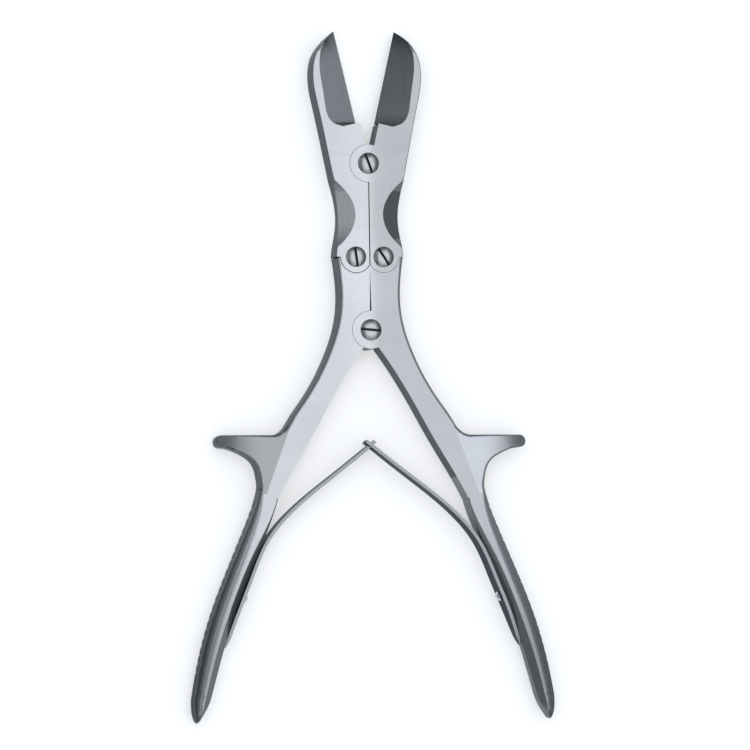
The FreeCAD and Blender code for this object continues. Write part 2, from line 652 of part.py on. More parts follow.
def make_spring(label, side, past):
    body = add_body(label)
    line = spring_line(side, past)
    half = value_of["spring_thickness"] / 2
    near, far, headings = [], [], []
    steps = 9
    for step in range(steps + 1):
        along = line.FirstParameter + (line.LastParameter - line.FirstParameter) * step / steps
        tangent = line.tangent(along)[0]
        normal = Vector(-tangent.y, tangent.x, 0)
        near.append(line.value(along) + normal * half)
        far.append(line.value(along) - normal * half)
        headings.append(tangent)
    ends = [Part.LineSegment(near[0], far[0]), Part.LineSegment(near[-1], far[-1])]
    geometry = smooth_run(near, headings) + smooth_run(far, headings) + ends
    strip = flat_sketch(body, f"{label}_strip", "Sizes.mid_height - Sizes.spring_width / 2", geometry)
    pad(body, strip, "Sizes.spring_width")

    cross = Vector(0, -value_of["spring_cross"], 0)
    seat, outward = rivet_seat(side)
    root = seat + (cross - seat) * 0.12
    along = (cross - root).normalize()
    across = Vector(0, 0, 1).cross(along)
    middle = Vector(0, 0, value_of["mid_height"])
    run = (cross - root).Length
    beyond = run + past + value_of["over_cut"]
    wide, narrow = value_of["spring_width"] / 2, value_of["spring_tip_width"] / 2
    slope = (narrow - wide) / run
    taper = []
    for sign in (1, -1):
        rim = wide + value_of["over_cut"]
        corners = [Vector(0, sign * wide), Vector(beyond, sign * (wide + slope * beyond)),
                   Vector(beyond, sign * rim), Vector(0, sign * rim)]
        taper += chain(corners + corners[:1])
    far_side = along.cross(Vector(0, 0, 1)) * run
    sketch = free_sketch(body, f"{label}_taper", root + middle + far_side, along, Vector(0, 0, 1), taper)
    pocket(body, sketch, f"{2 * run}")

    tip = line.value(line.FirstParameter)
    ahead = (tip - cross).normalize()
    gap = value_of["tongue_gap"]
    tongue = value_of["tongue_width"] / 2
    if side > 0:
        reach = value_of["spring_thickness"] + gap / 2
        corners = [Vector(-reach, -tongue - gap), Vector(reach, -tongue - gap),
                   Vector(reach, tongue + gap), Vector(-reach, tongue + gap)]
        geometry = chain(corners + corners[:1])
    else:
        geometry = []
        start = -value_of["spring_thickness"] - gap
        for sign in (1, -1):
            corners = [Vector(start, sign * tongue), Vector(past + 1, sign * tongue),
                       Vector(past + 1, sign * wide), Vector(start, sign * wide)]
            geometry += chain(corners + corners[:1])
    place = cross + middle + ahead.cross(Vector(0, 0, 1)) * value_of["spring_width"]
    sketch = free_sketch(body, f"{label}_tip", place, ahead, Vector(0, 0, 1), geometry)
    pocket(body, sketch, "2 * Sizes.spring_width")

    hole = body.newObject("PartDesign::SubtractiveCylinder", f"{label}_rivet_hole")
    hole.setExpression("Radius", "Sizes.rivet_radius + Sizes.pin_gap")
    hole.setExpression("Height", "2 * Sizes.spring_thickness + 2 * Sizes.over_cut")
    start = seat + middle - outward * value_of["over_cut"]
    hole.Placement = Placement(start, Rotation(Vector(0, 0, 1), outward))
    return body


pieces = [make_jaw("left_jaw", -1), make_jaw("right_jaw", 1),
          make_handle("left_handle", -1), make_handle("right_handle", 1),
          make_screw("jaw_pivot_screw", 1, None, "pivot_span", "head_radius", 110),
          make_screw("handle_pivot_screw", 1, None, None, "head_radius", -5),
          make_screw("left_link_screw", -1, "link_out", "link_height", "link_head_radius", 98),
          make_screw("right_link_screw", 1, "link_out", "link_height", "link_head_radius", 123),
          make_spring("left_spring", -1, value_of["spring_past"]),
          make_spring("right_spring", 1, value_of["spring_past"]),
          make_rivet("left_spring_rivet", -1), make_rivet("right_spring_rivet", 1)]

doc.recompute()
for item in doc.Objects:
    if "Invalid" in item.State or "Error" in item.State:
        raise ValueError(f"{item.Name} failed: {item.State}")
for piece in pieces:
    if piece.Shape.isNull() or not piece.Shape.isValid():
        raise ValueError(f"{piece.Label} has no valid shape")
    piece.Shape.exportStep(f"parts/{piece.Label}.step")
    print(piece.Label, len(piece.Shape.Solids), round(piece.Shape.Volume, 1), len(piece.Shape.Faces))
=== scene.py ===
import json
import math
import bmesh
import bpy
from mathutils import Matrix, Vector

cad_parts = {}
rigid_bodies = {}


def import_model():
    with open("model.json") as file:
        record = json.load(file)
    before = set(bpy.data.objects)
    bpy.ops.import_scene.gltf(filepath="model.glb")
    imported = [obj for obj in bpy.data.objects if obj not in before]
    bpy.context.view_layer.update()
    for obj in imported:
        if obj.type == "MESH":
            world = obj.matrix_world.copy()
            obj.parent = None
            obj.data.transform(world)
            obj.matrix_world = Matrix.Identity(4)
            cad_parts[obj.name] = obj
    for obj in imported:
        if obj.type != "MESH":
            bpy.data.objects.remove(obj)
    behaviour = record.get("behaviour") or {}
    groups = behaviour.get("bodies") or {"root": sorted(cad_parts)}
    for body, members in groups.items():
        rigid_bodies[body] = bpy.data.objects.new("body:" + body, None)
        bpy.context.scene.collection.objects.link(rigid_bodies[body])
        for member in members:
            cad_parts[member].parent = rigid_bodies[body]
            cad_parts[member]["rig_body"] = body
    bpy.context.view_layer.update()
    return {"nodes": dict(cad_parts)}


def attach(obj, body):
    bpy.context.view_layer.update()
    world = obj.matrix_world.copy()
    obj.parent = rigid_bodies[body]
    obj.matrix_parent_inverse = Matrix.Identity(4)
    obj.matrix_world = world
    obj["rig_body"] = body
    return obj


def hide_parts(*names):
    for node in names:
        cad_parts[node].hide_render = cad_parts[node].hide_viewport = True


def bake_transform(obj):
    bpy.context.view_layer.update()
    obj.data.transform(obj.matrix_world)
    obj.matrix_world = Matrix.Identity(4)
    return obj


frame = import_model()
scene = bpy.context.scene
mm = 0.001
print("frame loaded:", len(frame["nodes"]), "parts")


def toLinear(code):
    # an sRGB hex code as the linear colour that shaders take
    parts = [int(code[i:i + 2], 16) / 255 for i in (1, 3, 5)]
    return [p / 12.92 if p <= 0.04045 else ((p + 0.055) / 1.055) ** 2.4 for p in parts] + [1.0]


def metres(*sizes):
    return tuple(size * mm for size in sizes)


def addNode(tree, kind, inputs=None, **settings):
    # a node with its settings, its values and its links
    node = tree.nodes.new(kind)
    for name, value in settings.items():
        setattr(node, name, value)
    for key, value in (inputs or {}).items():
        if isinstance(value, bpy.types.NodeSocket):
            tree.links.new(value, node.inputs[key])
        else:
            node.inputs[key].default_value = value
    return node


def calc(tree, operation, *values):
    return addNode(tree, "ShaderNodeMath", dict(enumerate(values)), operation=operation).outputs[0]


def axisOf(tree, vector, axis):
    return addNode(tree, "ShaderNodeSeparateXYZ", {0: vector}).outputs[axis]


def mapRange(tree, value, source, target=(0.0, 1.0), soft=False):
    # value taken from one range to another, in a straight line or easing in and out
    inputs = {"Value": value, "From Min": source[0], "From Max": source[1],
              "To Min": target[0], "To Max": target[1]}
    kind = "SMOOTHSTEP" if soft else "LINEAR"
    return addNode(tree, "ShaderNodeMapRange", inputs, interpolation_type=kind).outputs[0]


def newMaterial(name):
    material = bpy.data.materials.new(name)
    material.use_nodes = True
    material.node_tree.nodes.clear()
    return material, material.node_tree


def addMesh(name, bm, materials=()):
    mesh = bpy.data.meshes.new(name)
    bm.to_mesh(mesh)
    bm.free()
    for material in materials:
        mesh.materials.append(material)
    piece = bpy.data.objects.new(name, mesh)
    scene.collection.objects.link(piece)
    return piece


# Camera: nearly parallel, from the left and a little below, at the photograph's roll.
camera = {
    "aim": (1.26, -17.0, 10.0),          # mm, at the middle of the picture
    "towards": (-0.231, -0.07, 1.0),     # from the forceps to the camera
    "lean": 0.92,                        # degrees, the tips lean to the left
    "distance": 2.0,                     # m
    "frameWidth": 281.25,                # mm
    "sensor": 36.0,                      # mm
    "clip": (0.05, 20.0),                # m
}


def placeCamera(values):
    lens = bpy.data.cameras.new("photoCamera")
    lens.sensor_width = values["sensor"]
    lens.lens = values["sensor"] * values["distance"] / (values["frameWidth"] * mm)
    lens.clip_start, lens.clip_end = values["clip"]
    eye = bpy.data.objects.new("photoCamera", lens)
    scene.collection.objects.link(eye)
    back = Vector(values["towards"]).normalized()
    lean = math.radians(values["lean"])
    right = Vector((math.sin(lean), math.cos(lean), 0)).cross(back).normalized()
    up = back.cross(right)
    turn = Matrix((right, up, back)).transposed().to_4x4()
    place = Vector(values["aim"]) * mm + back * values["distance"]
    eye.matrix_world = Matrix.Translation(place) @ turn
    scene.camera = eye


placeCamera(camera)
scene.view_settings.view_transform = "Standard"
print("camera placed")

# Studio: a white room with one large soft lamp overhead. Polished steel shows what stands round
# it, so grey screens stand on all four sides, seen only in reflections.
studio = {
    "lampPower": 6.8,        # W
    "lampSize": 1.5,         # m
    "lampHeight": 1.4,       # m
    "lampShift": (-0.25, 0.1),
    "fill": 0.55,            # the room's light on the floor
    "fillTone": (0.95, 0.975, 1.0, 1.0),
    "floor": "#e9ebee",
    "floorReach": 4.0,       # m, from the middle to each side
    "floorDrop": 0.02,       # mm below the forceps
    "lift": 0.42,            # brings the pale floor up to white
    "screenTone": (0.94, 0.97, 1.0, 1.0),
    # side, distance in m, reach along the side from and to, lower and upper edge, light
    "screens": [((-1, 0), 0.5, -0.9, 0.9, 0.0, 0.92, 0.33),
                ((1, 0), 0.5, -0.9, 0.9, 0.0, 0.80, 0.33),
                ((0, 1), 0.7, -0.5, 0.5, 0.0, 1.5, 0.33),
                ((0, -1), 0.7, -0.5, 0.5, 0.0, 0.95, 0.33)],
    # the dark column that the camera hangs from shows as a band in domed and sloping steel
    "column": {"distance": 1.9, "half": (0.17, 0.8), "light": 0.05},
}
square = ((-1, -1), (1, -1), (1, 1), (-1, 1))


def seenRays(tree):
    # 1 for the rays that show the background: seen directly, in a reflection or through glass
    rays = addNode(tree, "ShaderNodeLightPath").outputs
    direct = calc(tree, "MAXIMUM", rays["Is Camera Ray"], rays["Is Glossy Ray"])
    return calc(tree, "MAXIMUM", direct, rays["Is Transmission Ray"])


def addQuad(bm, corners, index=0):
    face = bm.faces.new([bm.verts.new(corner) for corner in corners])
    face.material_index = index


def lightRoom(values):
    # diffuse rays meet a dimmer room than the white one that is seen
    scene.world = bpy.data.worlds.new("whiteRoom")
    scene.world.use_nodes = True
    tree = scene.world.node_tree
    tree.nodes.clear()
    room = addNode(tree, "ShaderNodeBackground",
                   {"Color": values["fillTone"], "Strength": values["fill"]})
    white = addNode(tree, "ShaderNodeBackground", {"Color": (1, 1, 1, 1), "Strength": 1.0})
    mixed = addNode(tree, "ShaderNodeMixShader",
                    {0: seenRays(tree), 1: room.outputs[0], 2: white.outputs[0]})
    addNode(tree, "ShaderNodeOutputWorld", {"Surface": mixed.outputs[0]})

    lamp = bpy.data.lights.new("overheadLamp", "AREA")
    lamp.shape = "SQUARE"
    lamp.size = values["lampSize"]
    lamp.energy = values["lampPower"]
    lampObject = bpy.data.objects.new("overheadLamp", lamp)
    lampObject.location = (*values["lampShift"], values["lampHeight"])
    lampObject.visible_glossy = False     # in reflections the white room stands for it
    scene.collection.objects.link(lampObject)


def layFloor(values):
    paint, tree = newMaterial("palePaperFloor")
    matt = addNode(tree, "ShaderNodeBsdfDiffuse", {"Color": toLinear(values["floor"])})
    lift = calc(tree, "MULTIPLY", seenRays(tree), values["lift"])
    glow = addNode(tree, "ShaderNodeEmission", {"Color": (1, 1, 1, 1), "Strength": lift})
    total = addNode(tree, "ShaderNodeAddShader", {0: matt.outputs[0], 1: glow.outputs[0]})
    addNode(tree, "ShaderNodeOutputMaterial", {"Surface": total.outputs[0]})
    reach, level = values["floorReach"], -values["floorDrop"] * mm
    bm = bmesh.new()
    addQuad(bm, [(x * reach, y * reach, level) for x, y in square])
    floor = addMesh("paperFloor", bm, [paint])


def screenPaint(name, light):
    material, tree = newMaterial(name)
    glow = addNode(tree, "ShaderNodeEmission", {"Color": studio["screenTone"], "Strength": light})
    addNode(tree, "ShaderNodeOutputMaterial", {"Surface": glow.outputs[0]})
    return material


def standScreens(values):
    bm = bmesh.new()
    paints = []
    for (x, y), away, near, far, low, high, light in values["screens"]:
        corners = [(near, low), (far, low), (far, high), (near, high)]
        addQuad(bm, [(x * away - y * s, y * away + abs(x) * s, z) for s, z in corners], len(paints))
        paints.append(screenPaint(f"greyScreen{len(paints)}", light))
    column = values["column"]
    middle = Vector(camera["towards"]).normalized() * column["distance"]
    wide, tall = column["half"]
    addQuad(bm, [middle + Vector((x * wide, y * tall, 0)) for x, y in square], len(paints))
    paints.append(screenPaint("darkColumn", column["light"]))
    screens = addMesh("greyScreens", bm, paints)
    screens.visible_camera = False
    screens.visible_diffuse = False
    screens.visible_shadow = False


lightRoom(studio)
layFloor(studio)
standScreens(studio)
print("studio built")


# Satin stainless steel, brushed by a belt across the width: fine lines and a soft reflection.
# The webs of the finger guards, here called horns, are ground at an angle to the brushing.
satinLook = {
    # painted light: the left and right tones are lit and shaded versions of one steel
    "leftTone": "#e2e7ee",
    "rightTone": "#ccd2d8",
    # painted reflections: the left web is painted darker and the right web lighter, by their slopes
    "leftWebTone": "#b8bdc3",
    "rightWebTone": "#dfe5ee",
    "webTurn": 12.0,            # degrees
    "hornRange": (42.0, 58.0),  # mm from the middle, where painted shade darkens the horns
    "hornLeft": 0.42,           # share of the tone left at their tips under the painted shade
    "roughness": (0.30, 0.42),
    "lineSize": (24.0, 0.38, 3.0),      # mm, several grit lines drawn as one so that they show
    "lineDepth": 0.008,         # mm
    "lineStrength": 0.2,
    "toneChange": 0.07,
    "toneStep": (-1.5, 3.5),    # mm, the left half is painted a little brighter than the right, as painted light
    "paintedHighlight": 0.08,              # and both carry a painted highlight beside the middle
    "paintedHighlightMiddle": -3.0,        # mm
    "paintedHighlightReach": 13.0,         # mm
    "cloudSize": (36.0, 18.0, 20.0),    # mm, broad uneven patches
}
# Tumbled and polished steel on edges, roundings and grips: smoother, with painted shade that makes
# the walls darker.
edgeLook = {
    "tone": "#c3cad1",
    "paintedWallShade": "#6c7176",
    "slopeTone": "#a9afb5",     # the grip's inner side, ground but hardly polished
    # painted shade on the walls of the grip's inner side
    "paintedSlopeWallShade": "#8d9399",
    "slopeMetal": 0.6,
    "glance": "#b3b5b8",        # an old polish that scatters light at flat angles
    "roughness": (0.23, 0.28),
    "grainSize": (3.0, 3.0, 3.0),       # mm, soft clouds left by the polishing mop
    "rollRange": (0.68, 0.985),         # share of the normal that points up as an edge rolls over, where the painted wall shade turns into the flat tone
    "gripRange": (-128.0, -66.0),       # mm, the painted shade on the grips deepens over this stretch
    "gripLeft": 0.58,           # share of the tone left at their ends under the painted shade
}
# Ground steel on bevels and scoops: the wheel leaves fine lines along the blade.
groundLook = {
    # the tone and the angle of the lines, in degrees; the left bevel and scoop are painted light
    # and the right ones dark, as painted reflections
    "spots": {"leftFacet": ("#cbd1d8", -13.0), "rightFacet": ("#888e94", 13.0),
              "leftScoop": ("#c6ccd2", 0.0), "rightScoop": ("#848a90", 0.0)},
    "glance": "#b3b5b8",
    "paintedSteepShade": "#5f6469",     # painted shade where the bevel falls away at the tip and the root
    "steepRange": (0.74, 0.89),         # share of the normal that points up
    "roughness": (0.22, 0.30),
    "toneChange": 0.03,
    "lineSize": (0.5, 30.0, 5.0),       # mm
}
# Screws and rivets turned on a lathe: rings round the middle, painted shade towards the rim, and a
# painted shadow in the slot.
turnedLook = {
    "tone": "#cdd2d8",
    "paintedRimShade": "#868b90",
    "rimRange": (1.7, 3.7),     # mm from the axis, where painted shade darkens the head to its rim
    "paintedSlotShadow": "#2e3033",
    "slotRange": (9.7, 10.05),  # mm, heights between which the painted shadow in the slot deepens
    "roughness": (0.16, 0.30),
    "ringPitch": 0.22,          # mm, coarser than the tool's own so that the rings show
    "ringShare": (0.88, 1.06),
}
# Polished spring steel: darker, smooth, with drawn lines along the strip and painted shade on its
# walls.
springLook = {
    "tone": "#a8aeb4",
    "paintedWallShade": "#5c6064",
    "glance": "#a2a5a9",
    "roughness": (0.20, 0.34),
    "lineSize": (20.0, 0.35, 0.35),     # mm
    "lineTurn": 60.0,           # degrees
}
noiseSpan = (0.3, 0.7)          # where most of a noise texture's values lie
twoNoiseSpan = (0.7, 1.3)       # and those of two noises added up


def lineNoise(tree, place, spacing, turn=0.0, detail=3.0):
    # noise drawn out along the lines: spacing is its size in mm along x, y and z
    scale = [1 / size for size in metres(*spacing)]
    stretched = addNode(tree, "ShaderNodeMapping",
                        {"Vector": place, "Rotation": (0, 0, math.radians(turn)), "Scale": scale})
    inputs = {"Vector": stretched.outputs[0], "Scale": 1.0, "Detail": detail, "Roughness": 0.6}
    return addNode(tree, "ShaderNodeTexNoise", inputs).outputs["Fac"]


def mixTones(tree, share, low, high):
    # from the first colour to the second, each a hex code or a socket, as share goes from 0 to 1
    ends = [toLinear(end) if isinstance(end, str) else end for end in (low, high)]
    mixed = addNode(tree, "ShaderNodeMix", {0: share, 6: ends[0], 7: ends[1]}, data_type="RGBA")
    return mixed.outputs[2]


def dimmed(tree, colour, share):
    scaled = addNode(tree, "ShaderNodeVectorMath", {0: colour, "Scale": share}, operation="SCALE")
    return scaled.outputs[0]


def objectPlace(tree):
    return addNode(tree, "ShaderNodeTexCoord").outputs["Object"]


def upShare(tree):
    # how far a surface faces straight up or down
    normal = addNode(tree, "ShaderNodeNewGeometry").outputs["Normal"]
    return calc(tree, "ABSOLUTE", axisOf(tree, normal, "Z"))


def aroundOne(change):
    return 1 - change, 1 + change


def steelShader(tree, colour, roughness, normal=None, glance="#ffffff", metallic=1.0):
    # glance is the tint of the reflection where steel is seen at a flat angle
    inputs = {"Base Color": colour, "Metallic": metallic, "Roughness": roughness,
              "Specular Tint": toLinear(glance)}
    if normal:
        inputs["Normal"] = normal
    steel = addNode(tree, "ShaderNodeBsdfPrincipled", inputs)
    addNode(tree, "ShaderNodeOutputMaterial", {"Surface": steel.outputs[0]})


def paintedGripShade(tree, place):
    # painted shade: how much of its tone the steel keeps down the grips, darker towards their ends
    return mapRange(tree, axisOf(tree, place, "Y"), metres(*edgeLook["gripRange"]),
                    (edgeLook["gripLeft"], 1.0), soft=True)


def paintedHornShade(tree, place):
    # painted shade: the horns fall away to their tips and are painted darker there
    away = calc(tree, "ABSOLUTE", axisOf(tree, place, "X"))
    return mapRange(tree, away, metres(*satinLook["hornRange"]), (1.0, satinLook["hornLeft"]),
                    soft=True)


def satinSteel(name, leftTone, rightTone, turn=0.0, share=paintedGripShade):
    material, tree = newMaterial(name)
    place = objectPlace(tree)
    lines = lineNoise(tree, place, satinLook["lineSize"], turn)
    clouds = lineNoise(tree, place, satinLook["cloudSize"], detail=1.0)
    brushed = mapRange(tree, calc(tree, "ADD", lines, clouds), twoNoiseSpan,
                       aroundOne(satinLook["toneChange"]))
    across = axisOf(tree, place, "X")
    # painted light: the left half is brighter than the right
    side = mapRange(tree, across, metres(*satinLook["toneStep"]), soft=True)
    base = mixTones(tree, side, satinLook[leftTone], satinLook[rightTone])
    # painted highlight, brightest beside the middle
    off = calc(tree, "SUBTRACT", across, satinLook["paintedHighlightMiddle"] * mm)
    paintedHighlight = mapRange(tree, calc(tree, "ABSOLUTE", off), metres(0.0, satinLook["paintedHighlightReach"]),
                     (1 + satinLook["paintedHighlight"], 1.0), soft=True)
    # the brushed lines, the painted highlight and the painted shade of the grips or horns
    linesAndPaintedLight = calc(tree, "MULTIPLY", calc(tree, "MULTIPLY", brushed, paintedHighlight), share(tree, place))
    bump = addNode(tree, "ShaderNodeBump", {"Height": lines, "Strength": satinLook["lineStrength"],
                                            "Distance": satinLook["lineDepth"] * mm})
    steelShader(tree, dimmed(tree, base, linesAndPaintedLight),
                mapRange(tree, lines, noiseSpan, satinLook["roughness"]), bump.outputs[0])
    return material


def edgeSteel(name, paintedWallShade, tone, metallic):
    material, tree = newMaterial(name)
    place = objectPlace(tree)
    # painted shade: walls and rolling edges darker than the flats, by how far they face up
    share = mapRange(tree, upShare(tree), edgeLook["rollRange"], soft=True)
    colour = mixTones(tree, share, edgeLook[paintedWallShade], edgeLook[tone])
    grain = lineNoise(tree, place, edgeLook["grainSize"])
    steelShader(tree, dimmed(tree, colour, paintedGripShade(tree, place)),
                mapRange(tree, grain, noiseSpan, edgeLook["roughness"]),
                glance=edgeLook["glance"], metallic=metallic)
    return material


def groundSteel(spot):
    material, tree = newMaterial(f"groundSteel_{spot}")
    flatTone, turn = groundLook["spots"][spot]
    lines = lineNoise(tree, objectPlace(tree), groundLook["lineSize"], turn)
    share = mapRange(tree, lines, noiseSpan, aroundOne(groundLook["toneChange"]))
    # painted shade: steep parts of the bevel darker than its flat
    level = mapRange(tree, upShare(tree), groundLook["steepRange"], soft=True)
    tone = mixTones(tree, level, groundLook["paintedSteepShade"], flatTone)
    steelShader(tree, dimmed(tree, tone, share),
                mapRange(tree, lines, noiseSpan, groundLook["roughness"]),
                glance=groundLook["glance"])
    return material


def turnedSteel(name, withSlot):
    material, tree = newMaterial(name)
    radius = addNode(tree, "ShaderNodeAttribute", attribute_name="turnRadius").outputs["Fac"]
    steps = calc(tree, "MULTIPLY", radius, 1 / (turnedLook["ringPitch"] * mm))
    rings = addNode(tree, "ShaderNodeTexNoise", {"W": steps, "Scale": 1.0, "Detail": 2.0},
                    noise_dimensions="1D").outputs["Fac"]
    # painted shade towards the rim of the head
    rim = mapRange(tree, radius, metres(*turnedLook["rimRange"]), soft=True)
    tone = mixTones(tree, rim, turnedLook["tone"], turnedLook["paintedRimShade"])
    colour = dimmed(tree, tone, mapRange(tree, rings, noiseSpan, turnedLook["ringShare"]))
    if withSlot:
        # painted shadow in the slot
        height = axisOf(tree, objectPlace(tree), "Z")
        share = mapRange(tree, height, metres(*turnedLook["slotRange"]), soft=True)
        colour = mixTones(tree, share, turnedLook["paintedSlotShadow"], colour)
    steelShader(tree, colour, mapRange(tree, rings, noiseSpan, turnedLook["roughness"]))
    return material


def springSteel(name, turn):
    material, tree = newMaterial(name)
    lines = lineNoise(tree, objectPlace(tree), springLook["lineSize"], turn)
    # painted shade: walls of the strip darker than its faces that point up
    colour = mixTones(tree, upShare(tree), springLook["paintedWallShade"], springLook["tone"])
    steelShader(tree, colour, mapRange(tree, lines, noiseSpan, springLook["roughness"]),
                glance=springLook["glance"])
    return material


satin = satinSteel("satinBrushedSteel", "leftTone", "rightTone")
webLeft = satinSteel("satinBrushedSteelLeftWeb", "leftWebTone", "leftWebTone",
                     satinLook["webTurn"], paintedHornShade)
webRight = satinSteel("satinBrushedSteelRightWeb", "rightWebTone", "rightWebTone",
                      -satinLook["webTurn"], paintedHornShade)
edgePaint = edgeSteel("polishedEdgeSteel", "paintedWallShade", "tone", 1.0)
slopePaint = edgeSteel("mattInnerSteel", "paintedSlopeWallShade", "slopeTone", edgeLook["slopeMetal"])
leftFacet, rightFacet, leftScoop, rightScoop = [groundSteel(spot) for spot in groundLook["spots"]]
screwPaint = turnedSteel("turnedScrewSteel", True)
rivetPaint = turnedSteel("turnedRivetSteel", False)
springLeft = springSteel("polishedSpringSteelLeft", springLook["lineTurn"])
springRight = springSteel("polishedSpringSteelRight", -springLook["lineTurn"])
print("steels mixed")


# How the copies of jaws and handles are smoothed. A slope is the share of a normal that
# points up or down, from 0 on a wall to 1 on a flat.
dressing = {
    "thickness": 10.0,        # mm
    "weld": 0.002,            # mm
    # degrees between two faces that stay a crease, and the chamfers' width in mm
    "jaw": (18.5, 0.35),
    "handle": (30.0, 1.3),
    "webCrease": 1.0,         # degrees, between the flat and the sloping web
    "webSlope": 0.99,         # both have more than this
    "flatSlope": 0.995,       # flats keep their own normals
    "normalWeight": 60,       # how much large faces bend the shading of the small ones beside them
    "slopeSlack": 0.02,       # how far a chamfer's slope may be off that of 45 degrees
    "widthSlack": 0.05,       # mm
    "seamSlack": (0.01, 0.02),    # mm, how near the shoulder and the arc their corners lie
    "leftLink": (-5.3, 27.5), # mm
    "recess": 6.05,           # mm, radius of the recess round the link
    "lapHeight": 4.0,         # mm, the recess lies above this height
    "shoulderDrop": 0.03,     # mm, the handle's shoulder below the link's axis
    "shoulderOpen": 0.4,      # mm
    "arcOpen": 0.14,          # mm
    "roundSteps": 4,          # facets across a rounded edge
    "tipRound": 0.7,          # mm, at the horns' tips
    "tipSteps": 3,
    "tipFrom": 50.0,          # mm from the middle
    "tipSlopes": (0.1, 0.8),  # a wall has less than the first, a sloping top more than the second
    "hornFrom": 38.0,         # mm from the middle, where the horns begin
    "hornLow": -56.0,         # mm, and how far down they reach
    "hornSlopes": (0.6, 0.8), # their chamfers lean with the falling tops
    "hornWidths": (0.8, 1.2), # and differ from the others' width by this factor
}
strongFace = 16384            # what the weighted normals' face influence takes for strong


def isChamfer(face, width):
    # a narrow face at about 45 degrees between the front or the back and a wall
    depths = [min(vert.co.z / mm, dressing["thickness"] - vert.co.z / mm) for vert in face.verts]
    centre = face.calc_center_median() / mm
    slope = abs(face.normal.z)
    if centre.y < dressing["hornLow"] and face.normal.x * centre.x < 0:
        return False                                    # the start of the grip's inner side
    if abs(slope - math.sqrt(0.5)) < dressing["slopeSlack"]:
        narrow = max(depths) < width + dressing["widthSlack"]
        return narrow and min(depths) < 0.5 * width < max(depths)
    onHorn = abs(centre.x) > dressing["hornFrom"] and centre.y > dressing["hornLow"]
    (low, high), (least, most) = dressing["hornSlopes"], dressing["hornWidths"]
    return onHorn and low < slope < high and least < (max(depths) - min(depths)) / width < most


def openSeam(bm):
    # the seam below the left link screw stands open a little wider than the others
    link = Vector((*dressing["leftLink"], 0.0)) * mm
    lineSlack, arcSlack = dressing["seamSlack"]
    for vert in bm.verts:
        away = Vector((vert.co.x, vert.co.y, 0.0)) - link
        onShoulder = abs(away.y / mm + dressing["shoulderDrop"]) < lineSlack
        onArc = abs(away.length / mm - dressing["recess"]) < arcSlack
        if onShoulder and away.x < -dressing["recess"] * mm:
            vert.co.y -= dressing["shoulderOpen"] * mm
        elif onArc and vert.co.z > dressing["lapHeight"] * mm:
            vert.co += away.normalized() * dressing["arcOpen"] * mm


def roundHornTips(bm):
    # the solids leave the rim of the horns' tips sharp
    wall, top = dressing["tipSlopes"]
    rims = []
    for edge in bm.edges:
        middle = (edge.verts[0].co + edge.verts[1].co) / (2 * mm)
        slopes = [abs(face.normal.z) for face in edge.link_faces]
        onTip = abs(middle.x) > dressing["tipFrom"] and middle.y > dressing["hornLow"]
        if onTip and slopes and min(slopes) < wall and max(slopes) > top:
            rims.append(edge)
    bmesh.ops.bevel(bm, geom=rims, offset=dressing["tipRound"] * mm, offset_type="OFFSET",
                    segments=dressing["tipSteps"], profile=0.5, affect="EDGES",
                    clamp_overlap=True, loop_slide=False)
    bm.normal_update()


def roundChamfers(bm, width):
    # makes each chamfer a quarter round between the same two edges; the flat and the wall stay
    middle = 0.5 * dressing["thickness"] * mm
    steps = dressing["roundSteps"]
    turns = [math.radians(90) * step / steps for step in range(1, steps)]
    columns = {}

    def column(outer, inner):
        if (outer, inner) not in columns:
            level = Vector((outer.co.x, outer.co.y, inner.co.z))
            out, up = outer.co - level, inner.co - level
            arc = [bm.verts.new(level + math.cos(turn) * out + math.sin(turn) * up)
                   for turn in turns]
            columns[outer, inner] = [outer, *arc, inner]
        return columns[outer, inner]

    chamfers = [face for face in bm.faces if isChamfer(face, width)]
    made = []
    for face in chamfers:
        verts = list(face.verts)
        heights = [abs(vert.co.z - middle) for vert in verts]
        high = [height > 0.5 * (max(heights) + min(heights)) for height in heights]
        while not high[0] or high[-1]:
            verts.append(verts.pop(0))
            high.append(high.pop(0))
        outer = [vert for vert, isHigh in zip(verts, high) if isHigh]
        inner = [vert for vert, isHigh in zip(verts, high) if not isHigh]
        first = column(outer[0], inner[-1])
        last = column(outer[-1], inner[0])
        for step in range(steps):
            ring = dict.fromkeys([first[step], last[step], last[step + 1], first[step + 1]])
            made.append(list(ring))
    bmesh.ops.delete(bm, geom=chamfers, context="FACES")
    for ring in made:
        bm.faces.new(ring)
    # the ends of a row of quarter rounds are closed against the wall beside them
    for (outer, inner), verts in columns.items():
        edge = bm.edges.get((outer, inner))
        if edge and len(edge.link_loops) == 1:
            ahead = edge.link_loops[0].vert == outer
            bm.faces.new(verts if ahead else verts[::-1])
    bm.normal_update()


def weldedCopy(node):
    bm = bmesh.new()
    bm.from_mesh(frame["nodes"][node].data)
    bmesh.ops.remove_doubles(bm, verts=bm.verts, dist=dressing["weld"] * mm)
    return bm


def creased(edge, degrees):
    return len(edge.link_faces) == 2 and edge.calc_face_angle() > math.radians(degrees)


